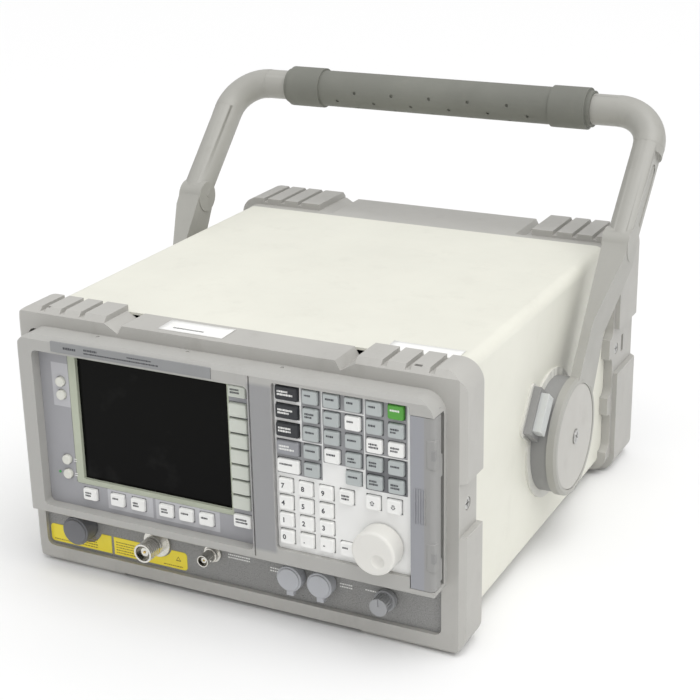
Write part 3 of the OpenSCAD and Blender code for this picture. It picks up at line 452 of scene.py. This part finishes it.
# ---------------------------------------------------------------- case
# node, material, width of its rounded edges, segments across them
SKINS = (
    ("front_frame", "frame", 0.0016, 3),
    ("rear_frame", "frame", 0.0016, 3),
    ("front_bezel", "bezel", 0.0009, 3),
    ("media_door", "door", 0.0004, 2),
    ("sleeve_cover", "cover", 0.0003, 2),
    ("display_panel", "display", 0.0002, 2),
    ("keypad_panel", "keypad", 0.0002, 2),
    ("connector_panel", "connector", 0.0002, 2),
    ("display_gasket", "gasket", 0.0006, 2),
    ("name_plate", "plate", 0.0002, 2),
    ("rf_out_cap", "cap_black", 0.0008, 3),
    ("probe_power_cap", "cap_grey", 0.0010, 3),
    ("ext_keyboard_cap", "cap_grey", 0.0010, 3),
    ("n_connector", "nickel", 0.0002, 2),
    ("bnc_connector", "nickel", 0.0002, 2),
    ("volume_knob", "volume", 0.0004, 2),
    ("rpg_knob", "knob", 0.0003, 2),
    ("handle_bail", "handle", 0.0016, 3),
    ("hub_discs", "hub", 0.0008, 3),
    ("hub_screws", "steel", 0.0004, 2),
    ("pivot_base_left", "base", 0.0010, 2),
    ("pivot_base_right", "base", 0.0010, 2),
    ("side_escutcheons", "escutcheon", 0.0006, 2),
    ("release_button_left", "button", 0.0006, 2),
    ("release_button_right", "button", 0.0006, 2),
    ("frame_screws", "steel", 0.0003, 2),
    ("rear_panel", "rear", 0.0002, 2),
    ("handle_grip", "grip", 0.0008, 2),
    ("power_inlet", "black", 0.0004, 2),
    ("gpib_connector", "black", 0.0004, 2),
    ("video_connector", "blue", 0.0004, 2),
    ("rear_bnc_group", "nickel", 0.0002, 2),
)
# the knob rounds only edges over 40 degrees; the handle keeps its triangles, because merging its
# concave flat faces leaves stray ones
SKIN_EXTRAS = {"rpg_knob": {"angle": 40.0}, "handle_bail": {"merge": False}}
for node, mat, width, segments in SKINS:
    refine(node, mat, width, segments, **SKIN_EXTRAS.get(node, {}))

for node, mat in {
    "display_glass": "glass", "lcd_module": "can", "keypad_backing": "board", "warning_label": "yellow",
    "disk_drive": "drive", "door_pin": "steel", "chassis_tray": "can", "power_supply": "can",
    "rf_deck": "can", "processor_board": "board", "fan_grille": "steel", "fan_frame": "black",
    "fan_rotor": "black",
}.items():
    paint(node, mat)


# ---------------------------------------------------------------- keys
def islands(node):
    """Boxes of the separate solids of a node, as (low, high) corners."""
    bm = bmesh.new()
    bm.from_mesh(nodes[node].data)
    bmesh.ops.remove_doubles(bm, verts=bm.verts, dist=WELD)
    seen = set()
    found = []
    for start in bm.verts:
        if start.index in seen:
            continue
        stack = [start]
        group = []
        seen.add(start.index)
        while stack:
            v = stack.pop()
            group.append(v.co.copy())
            for e in v.link_edges:
                w = e.other_vert(v)
                if w.index not in seen:
                    seen.add(w.index)
                    stack.append(w)
        lo = Vector([min(c[i] for c in group) for i in range(3)])
        hi = Vector([max(c[i] for c in group) for i in range(3)])
        found.append((lo, hi))
    bm.free()
    found.sort(key=lambda b: (-round(b[0].z, 4), round(b[0].x, 4)))
    return found


def key_mesh(bm, lo, hi, inset, dish):
    """One moulded key: straight skirt, drafted sides and a slightly dished face towards -Y."""
    steps = 6
    cx, cz = (lo.x + hi.x) / 2, (lo.z + hi.z) / 2
    hx, hz = (hi.x - lo.x) / 2, (hi.z - lo.z) / 2
    corner = min(hx, hz) * 0.28

    def ring(y, shrink):
        out = []
        for sx, sz, a0 in ((1, 1, 0), (-1, 1, 90), (-1, -1, 180), (1, -1, 270)):
            for i in range(steps + 1):
                a = math.radians(a0 + 90.0 * i / steps)
                r = max(corner - shrink * 0.4, 0.0002)
                x = cx + sx * (hx - shrink - r) + r * math.cos(a)
                z = cz + sz * (hz - shrink - r) + r * math.sin(a)
                out.append(bm.verts.new((x, y, z)))
        return out

    front = lo.y
    rings = [
        ring(hi.y, 0.0), ring(front + 1.3 * MM, 0.0), ring(front + 0.7 * MM, inset * 0.35),
        ring(front + 0.25 * MM, inset * 0.7), ring(front, inset * 1.3), ring(front + dish * 0.6, inset * 2.4),
        ring(front + dish, inset * 4.5),
    ]
    count = len(rings[0])
    for a, b in zip(rings, rings[1:]):
        for i in range(count):
            j = (i + 1) % count
            bm.faces.new((a[i], a[j], b[j], b[i]))
    bm.faces.new(rings[-1])
    bm.faces.new(list(reversed(rings[0])))


def round_key_mesh(bm, lo, hi):
    """One round push button with a rounded rim and a dimpled face."""
    sides = 36
    cx, cz, r = (lo.x + hi.x) / 2, (lo.z + hi.z) / 2, (hi.x - lo.x) / 2
    profile = [
        (hi.y, 1.0), (lo.y + 0.9 * MM, 1.0), (lo.y + 0.35 * MM, 0.93), (lo.y, 0.78), (lo.y + 0.3 * MM, 0.4),
    ]
    rings = []
    for y, k in profile:
        rings.append([bm.verts.new((cx + r * k * math.cos(a), y, cz + r * k * math.sin(a)))
                      for a in [math.tau * i / sides for i in range(sides)]])
    for a, b in zip(rings, rings[1:]):
        for i in range(sides):
            j = (i + 1) % sides
            bm.faces.new((a[i], a[j], b[j], b[i]))
    bm.faces.new(rings[-1])
    bm.faces.new(list(reversed(rings[0])))


def make_keys(node, mat, boxes=None, name=None):
    """Moulded keys in place of a CAD key node, or of some of its solids."""
    bm = bmesh.new()
    for lo, hi in boxes or islands(node):
        key_mesh(bm, lo, hi, KEY_INSET, KEY_DISH)
    bmesh.ops.recalc_face_normals(bm, faces=bm.faces)
    obj = new_object(name or node + "_caps", bm, mat, BODY_OF[node])
    for poly in obj.data.polygons:
        poly.use_smooth = True
    weighted = obj.modifiers.new("normals", "WEIGHTED_NORMAL")
    weighted.weight = 60
    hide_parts(node)
    return obj


def make_round_keys(node, mat):
    """Round push buttons in place of a CAD key node."""
    bm = bmesh.new()
    for lo, hi in islands(node):
        round_key_mesh(bm, lo, hi)
    bmesh.ops.recalc_face_normals(bm, faces=bm.faces)
    obj = new_object(node + "_caps", bm, mat, BODY_OF[node])
    for poly in obj.data.polygons:
        poly.use_smooth = True
    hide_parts(node)
    return obj


# cap material and ink of each key node
KEYS = {
    "key_help": ("key_white", "dark_print_and_slot_shade"), "key_esc": ("key_soft", "dark_print_and_slot_shade"),
    "softkeys": ("key_soft", None),
    "key_return": ("key_white", "dark_print_and_slot_shade"), "tab_keys": ("key_white", "dark_print_and_slot_shade"),
    "band_keys": ("key_black", "ink_white"), "key_preset": ("key_green", "ink_white"),
    "white_keys": ("key_white", "dark_print_and_slot_shade"), "number_keys": ("key_white", None),
    "key_enter": ("key_white", "dark_print_and_slot_shade"), "arrow_keys": ("key_white", None),
}
for node, (mat, ink) in KEYS.items():
    make_keys(node, mat)
for node in ("key_power_on", "key_standby", "view_keys"):
    make_round_keys(node, "key_light")

# the wide key under the band keys is darker than the other grid keys
grid = islands("grey_keys")
wide_grid = [b for b in grid if b[1].x - b[0].x > 15 * MM]
slim_grid = [b for b in grid if b[1].x - b[0].x <= 15 * MM]
make_keys("grey_keys", "key_grey", boxes=slim_grid)
make_keys("grey_keys", "key_mid", boxes=wide_grid, name="grey_wide_caps")

INK_T = 0.12 * MM
KEY_INK_DEPTH = 0.33 * MM


def marks(name, ink, body, boxes):
    """Thin bars of print or of painted shade: each is (centre x, centre z, width, height, y of the surface it
    lies on).
    """
    bm = bmesh.new()
    for x, z, w, h, y in boxes:
        add_box(bm, (x - w / 2, y - INK_T, z - h / 2), (x + w / 2, y + 0.05 * MM, z + h / 2))
    obj = new_object(name, bm, ink, body)
    edge = obj.modifiers.new("edge", "BEVEL")
    edge.width = 0.03 * MM
    return obj


def dashes(x, end, z, height, y, short=0.55 * MM, long=1.1 * MM, gap=0.3 * MM):
    """One row of short bars from x to end, where a line of small print would be."""
    out = []
    while x < end - 0.4 * MM:
        w = min(random.uniform(short, long), end - x)
        out.append((x + w / 2, z, w, height * random.uniform(0.85, 1.15), y))
        x += w + gap
    return out


def legend_bars(lo, hi, rows, y):
    """Left-aligned rows of small dashes where a key has its printed words."""
    left = lo.x + 2.1 * MM
    top = (lo.z + hi.z) / 2 + 1.35 * MM
    room = hi.x - 2.2 * MM - left
    out = []
    for r in range(rows):
        end = left + room * random.uniform(0.6, 0.95)
        out += dashes(left, end, top - r * 2.3 * MM, 1.4 * MM, y)
    return out


for node, (mat, ink) in KEYS.items():
    if ink:
        bars = []
        for lo, hi in islands(node):
            rows = 2 if node == "band_keys" or random.random() < 0.4 else 1
            bars += legend_bars(lo, hi, rows, lo.y + KEY_INK_DEPTH)
        marks(node + "_legend", ink, BODY_OF[node], bars)
for part, boxes, ink in (("slim", slim_grid, "dark_print_and_slot_shade"), ("wide", wide_grid, "ink_white")):
    bars = []
    for lo, hi in boxes:
        bars += legend_bars(lo, hi, 2 if random.random() < 0.5 else 1, lo.y + KEY_INK_DEPTH)
    marks("grey_keys_legend_" + part, ink, BODY_OF["grey_keys"], bars)


def digit(name, text, centre, size, ink, body):
    """A plain digit or sign, cut as a thin raised mesh facing -Y."""
    curve = bpy.data.curves.new(name + "_curve", "FONT")
    curve.body = text
    curve.size = size
    curve.align_x = "CENTER"
    curve.align_y = "CENTER"
    curve.extrude = INK_T / 2
    curve.offset = 0.12 * MM
    curve.resolution_u = 3
    temp = bpy.data.objects.new(name + "_curve", curve)
    bpy.context.scene.collection.objects.link(temp)
    bpy.context.view_layer.update()
    mesh = bpy.data.meshes.new_from_object(temp)
    bpy.data.objects.remove(temp)
    mesh.name = name
    mesh.transform(Matrix.Translation(centre) @ Matrix.Rotation(math.pi / 2, 4, "X"))
    obj = bpy.data.objects.new(name, mesh)
    bpy.context.scene.collection.objects.link(obj)
    mesh.materials.clear()
    mesh.materials.append(M[ink])
    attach(obj, body)
    return obj


num_keys = islands("number_keys")
DIGIT_SIZE = 5.4 * MM
DIGITS = ["7", "8", "9", None, "4", "5", "6", "1", "2", "3", "0", ".", "-"]
for (lo, hi), text in zip(num_keys, DIGITS):
    if text is None:
        marks("number_back_legend", "dark_print_and_slot_shade", BODY_OF["number_keys"],
              legend_bars(lo, hi, 2, lo.y + KEY_INK_DEPTH))
        continue
    label = {".": "point", "-": "sign"}.get(text, text)
    place = (lo.x + 3.6 * MM, lo.y + 0.28 * MM, (lo.z + hi.z) / 2 - 0.2 * MM)
    digit("number_" + label, text, place, DIGIT_SIZE, "dark_print_and_slot_shade", BODY_OF["number_keys"])


def outline(name, points, inner, ink, body, y):
    """A closed ring between two polygons of equal point count, raised off a surface facing -Y."""
    bm = bmesh.new()
    outer_ring = [bm.verts.new((x, y, z)) for x, z in points]
    inner_ring = [bm.verts.new((x, y, z)) for x, z in inner]
    count = len(points)
    for k in range(count):
        n = (k + 1) % count
        bm.faces.new((outer_ring[k], outer_ring[n], inner_ring[n], inner_ring[k]))
    ext = bmesh.ops.extrude_face_region(bm, geom=list(bm.faces))
    for v in ext["geom"]:
        if isinstance(v, bmesh.types.BMVert):
            v.co.y -= OUTLINE_HEIGHT
    bmesh.ops.recalc_face_normals(bm, faces=bm.faces)
    return new_object(name, bm, ink, body)


# block arrows: half widths and heights in mm
ARROW_OUT = ((0.0, 2.0), (2.0, 0.1), (1.0, 0.1), (1.0, -1.8), (-1.0, -1.8), (-1.0, 0.1), (-2.0, 0.1))
ARROW_IN = ((0.0, 1.35), (0.95, 0.5), (0.5, 0.5), (0.5, -1.3), (-0.5, -1.3), (-0.5, 0.5), (-0.95, 0.5))
for i, (lo, hi) in enumerate(islands("arrow_keys")):
    flip = 1 if i == 0 else -1
    cx, cz = (lo.x + hi.x) / 2 - 0.4 * MM, (lo.z + hi.z) / 2 - 0.2 * MM
    rings = [[(cx + a * MM, cz + b * MM * flip) for a, b in ring] for ring in (ARROW_OUT, ARROW_IN)]
    outline("arrow_mark_%d" % i, rings[0], rings[1], "dark_print_and_slot_shade", BODY_OF["arrow_keys"],
            lo.y + 0.36 * MM)

# ---------------------------------------------------------------- panel print and painted shade in the key slots
# dark bars in the clearance above and to the right of each key, where the light does not reach
def slot_shade_bars(name, key_nodes, surface):
    bars = []
    gap = SLOT_GAP
    for node in key_nodes:
        for lo, hi in islands(node):
            cx, cz = (lo.x + hi.x) / 2, (lo.z + hi.z) / 2
            bars.append((cx, hi.z + gap / 2, hi.x - lo.x, gap * 0.9, surface + 0.1 * MM))
            bars.append((hi.x + gap / 2, cz, gap * 0.9, hi.z - lo.z + gap, surface + 0.1 * MM))
    return marks(name, "dark_print_and_slot_shade", "case", bars)


slot_shade_bars("keypad_slot_shade", ("number_keys", "key_enter", "arrow_keys", "grey_keys", "white_keys"), PAD_LO.y)
slot_shade_bars("display_slot_shade", ("softkeys", "key_esc", "key_return", "tab_keys", "key_help"), DIS_LO.y)

# a light bar at the right of each softkey
bars = []
for lo, hi in islands("softkeys") + islands("key_return"):
    cx, cz = (lo.x + hi.x) / 2, (lo.z + hi.z) / 2
    bars.append((hi.x + 1.5 * MM, cz, 0.35 * MM, hi.z - lo.z + 1.2 * MM, DIS_LO.y + PRINT_SINK))
marks("softkey_outline", "ink_white", "case", bars)

# rows of print on the name plate: first and last x, height above its foot and size of the print, mm
bars = []
for x0, x1, z0, high in ((12, 24, 4.4, 1.9), (31, 43, 5.6, 1.6), (31, 98, 3.0, 1.1), (70, 92, 5.6, 1.1)):
    bars += dashes(PLATE_LO.x + x0 * MM, PLATE_LO.x + x1 * MM, PLATE_LO.z + z0 * MM, high * MM,
                   PLATE_LO.y + PRINT_SINK, 0.8 * MM, 1.6 * MM, 0.4 * MM)
marks("name_plate_print", "dark_print_and_slot_shade", "case", bars)

# catch blocks with a window on the rounded column of the door
DOOR_LO, DOOR_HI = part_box("media_door")
bm = bmesh.new()
windows = bmesh.new()
for z0 in (DOOR_LO.z + 16.0 * MM, DOOR_HI.z - 38.0 * MM):
    lo = Vector((DOOR_HI.x - 6.4 * MM, DOOR_LO.y + 0.15 * MM, z0))
    hi = Vector((DOOR_HI.x + 0.4 * MM, DOOR_LO.y + 7.0 * MM, z0 + 22.0 * MM))
    add_box(bm, lo, hi)
    add_box(windows, (DOOR_HI.x - 2.6 * MM, lo.y - 0.12 * MM, z0 + 7.0 * MM),
            (DOOR_HI.x + 0.52 * MM, lo.y + 3.4 * MM, z0 + 15.0 * MM))
soften(new_object("door_catch_blocks", bm, "door", "door"), 0.0012, 3)
soften(new_object("door_catch_windows", windows, "base", "door"), 0.0003, 2)

# generic print on the yellow label: two triangle signs and rows of dashes
TRIANGLE = ((-1, -0.8), (1, -0.8), (0, 0.9))
lab_y = LAB_LO.y
for k, (sx, sz) in enumerate(((21.0, 11.0), (123.0, 9.0))):
    cx, cz = LAB_LO.x + sx * MM, LAB_LO.z + sz * MM
    rings = [[(cx + a * r, cz + b * r) for a, b in TRIANGLE] for r in (2.4 * MM, 1.5 * MM)]
    outline("label_sign_%d" % k, rings[0], rings[1], "ink_brown", "case", lab_y)
bars = []
for x0, x1, first, last in ((26, 46, 1, 4), (64, 92, 1, 4), (3, 46, 0, 0), (64, 92, 0, 0), (109, 128, 0, 0)):
    for r in range(first, last + 1):
        z = LAB_LO.z + (2.2 + r * 2.3) * MM
        bars += dashes(LAB_LO.x + x0 * MM, LAB_LO.x + x1 * MM * random.uniform(0.97, 1.0), z, 0.75 * MM,
                       lab_y + PRINT_SINK, 1.0 * MM, 2.6 * MM, 0.5 * MM)
marks("label_print", "ink_brown", "case", bars)

# captions on the dark connector panel: node, offset to the first dash, length, height offset, rows
bars = []
for node, dx, length, dz, rows in (
    ("rf_out_cap", 15.0, 20.0, 12.5, 2), ("n_connector", 15.0, 22.0, 12.5, 2),
    ("bnc_connector", 13.0, 20.0, 1.2, 2), ("probe_power_cap", -21.0, 9.0, 3.0, 2),
    ("ext_keyboard_cap", 13.0, 11.0, 3.0, 2), ("volume_knob", -18.0, 9.0, 3.0, 1),
):
    lo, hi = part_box(node)
    cx, cz = (lo.x + hi.x) / 2, (lo.z + hi.z) / 2
    for r in range(rows):
        bars += dashes(cx + dx * MM, cx + (dx + length) * MM, cz + (dz - 2.4 * r) * MM, 1.1 * MM,
                       CON_LO.y + PRINT_SINK, 0.8 * MM, 1.8 * MM, 0.45 * MM)
marks("connector_captions", "ink_white", "case", bars)

# two bars beside the power button and the standby button
bars = []
for n in ("key_power_on", "key_standby"):
    lo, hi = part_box(n)
    for d in (0.9 * MM, -0.9 * MM):
        bars.append((hi.x + 3.2 * MM, (lo.z + hi.z) / 2 + d, 2.6 * MM, 0.7 * MM, DIS_LO.y + PRINT_SINK))
marks("power_captions", "ink_white", "case", bars)

# ---------------------------------------------------------------- power light and connector pins
bm = bmesh.new()
lo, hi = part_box("key_power_on")
add_disc(bm, (lo.x - 4.5 * MM, DIS_LO.y - 0.2 * MM, (lo.z + hi.z) / 2), 1.1 * MM, 0.8 * MM)
soften(new_object("power_led", bm, "led", "case"), 0.0003, 2)

bm = bmesh.new()
for n, r in (("n_connector", 0.95), ("bnc_connector", 0.7)):
    lo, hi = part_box(n)
    add_disc(bm, ((lo.x + hi.x) / 2, lo.y + 6.5 * MM, (lo.z + hi.z) / 2), r * MM, 9 * MM, sides=20)
soften(new_object("connector_pins", bm, "gold", "case"), 0.0002, 2)

# ---------------------------------------------------------------- stickers on the case
def sticker(name, x0, x1, y0, y1, z, turn):
    """A slightly curled paper label lying on a top surface."""
    bm = bmesh.new()
    n = 10
    cx, cy = (x0 + x1) / 2, (y0 + y1) / 2
    grid = []
    for i in range(n + 1):
        row = []
        for j in range(5):
            u, v = i / n - 0.5, j / 4 - 0.5
            x, y = u * (x1 - x0), v * (y1 - y0)
            lift = 0.25 * MM + 0.35 * MM * max(0.0, abs(u) - 0.4) / 0.1 * (0.5 + v)
            c, s = math.cos(turn), math.sin(turn)
            row.append(bm.verts.new((cx + x * c - y * s, cy + x * s + y * c, z + lift)))
        grid.append(row)
    for i in range(n):
        for j in range(4):
            bm.faces.new((grid[i][j], grid[i + 1][j], grid[i + 1][j + 1], grid[i][j + 1]))
    obj = new_object(name, bm, "sticker", "case")
    for poly in obj.data.polygons:
        poly.use_smooth = True
    thick = obj.modifiers.new("thick", "SOLIDIFY")
    thick.thickness = 0.15 * MM
    thick.offset = 1.0
    return obj


top_z = COV_HI.z
BAR_FRONT, BAR_BACK = FRAME_LO.y + 0.0115, FRAME_LO.y + 0.0135
sticker("sticker_front", -0.062, -0.006, FRAME_LO.y + 0.006, FRAME_LO.y + 0.027, top_z + 0.4 * MM, 0.0)
bm = bmesh.new()
x = -0.052
while x < -0.026:
    wide = random.uniform(0.5, 1.3) * MM
    add_box(bm, (x, BAR_FRONT, top_z + 0.6 * MM), (x + wide, BAR_BACK, top_z + 0.86 * MM))
    x += wide + 0.45 * MM
new_object("sticker_print", bm, "dark_print_and_slot_shade", "case")
sticker("sticker_right", 0.112, 0.168, FRAME_HI.y + 0.003, FRAME_HI.y + 0.021, top_z, 0.02)

# ---------------------------------------------------------------- stage
def make_floor():
    """A wide flat floor at bench level."""
    bm = bmesh.new()
    size = 14.0
    profile = [(-size, 0.0), (0.0, 0.0), (size, 0.0)]
    edges = []
    for x in (-size, size):
        edges.append([bm.verts.new((x, y, z)) for y, z in profile])
    for i in range(len(profile) - 1):
        bm.faces.new((edges[0][i], edges[1][i], edges[1][i + 1], edges[0][i + 1]))
    mesh = bpy.data.meshes.new("floor")
    bm.to_mesh(mesh)
    bm.free()
    obj = bpy.data.objects.new("floor", mesh)
    bpy.context.scene.collection.objects.link(obj)
    t = Tree("pale_floor")
    t.bsdf.inputs["Base Color"].default_value = (0.88, 0.88, 0.88, 1.0)
    t.bsdf.inputs["Roughness"].default_value = 0.8
    mesh.materials.append(t.mat)
    obj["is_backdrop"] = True
    return obj


make_floor()


LIGHT_TARGET = (0, 0, 0.12)


def area_light(name, place, size, power, color):
    """A soft rectangular light aimed at the middle of the instrument."""
    data = bpy.data.lights.new(name, "AREA")
    data.shape = "RECTANGLE"
    data.size, data.size_y = size
    data.energy = power
    data.color = color
    obj = bpy.data.objects.new(name, data)
    obj.location = place
    obj.rotation_euler = (Vector(LIGHT_TARGET) - Vector(place)).to_track_quat("-Z", "Y").to_euler()
    bpy.context.scene.collection.objects.link(obj)


area_light("soft_right", (1.9, -0.9, 1.7), (1.8, 1.6), 8, (1.0, 0.99, 0.97))
area_light("soft_left", (-1.8, -1.6, 1.3), (1.6, 1.6), 2, (0.97, 0.985, 1.0))

sun_data = bpy.data.lights.new("sky_window", "SUN")
sun_data.energy = 1.35
sun_data.angle = math.radians(50.0)
sun = bpy.data.objects.new("sky_window", sun_data)
sun.rotation_euler = Vector((-0.35, 0.15, -1.0)).to_track_quat("-Z", "Y").to_euler()
bpy.context.scene.collection.objects.link(sun)

# pale sky, brighter overhead than at the horizon
world = bpy.data.worlds.new("studio")
bpy.context.scene.world = world
world.use_nodes = True
sky = world.node_tree
sky_place = sky.nodes.new("ShaderNodeTexCoord")
sky_split = sky.nodes.new("ShaderNodeSeparateXYZ")
sky_level = sky.nodes.new("ShaderNodeMapRange")
for k, v in enumerate((0.0, 1.0, 0.42, 0.9), 1):
    sky_level.inputs[k].default_value = v
sky.links.new(sky_place.outputs["Generated"], sky_split.inputs[0])
sky.links.new(sky_split.outputs[2], sky_level.inputs[0])
sky.links.new(sky_level.outputs[0], sky.nodes["Background"].inputs[1])
sky.nodes["Background"].inputs[0].default_value = (1.0, 1.0, 1.0, 1.0)

# ---------------------------------------------------------------- camera
AZIMUTH, ELEVATION, ROLL = math.radians(26.9), math.radians(20.38), math.radians(-1.105)
CAMERA_PLACE = Vector((0.5698, FRAME_LO.y - 0.9209, 0.6108))
IMAGE, FOCAL_PIXELS, SENSOR = 700.0, 1573.2, 36.0
back = Vector((math.sin(AZIMUTH) * math.cos(ELEVATION), -math.cos(AZIMUTH) * math.cos(ELEVATION),
               math.sin(ELEVATION)))
right = Vector((math.cos(AZIMUTH), math.sin(AZIMUTH), 0.0))
up = back.cross(right)
c, s = math.cos(ROLL), math.sin(ROLL)
right, up = right * c + up * s, up * c - right * s
cam_data = bpy.data.cameras.new("camera")
cam_data.sensor_width = SENSOR
cam_data.lens = SENSOR * FOCAL_PIXELS / IMAGE
camera = bpy.data.objects.new("camera", cam_data)
camera.matrix_world = Matrix((
    (right.x, up.x, back.x, CAMERA_PLACE.x), (right.y, up.y, back.y, CAMERA_PLACE.y),
    (right.z, up.z, back.z, CAMERA_PLACE.z), (0, 0, 0, 1)))
bpy.context.scene.collection.objects.link(camera)
bpy.context.scene.camera = camera
bpy.context.scene.view_settings.view_transform = "Standard"

visual_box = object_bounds()
boxes = {"cad": cad_box, "visual": visual_box}
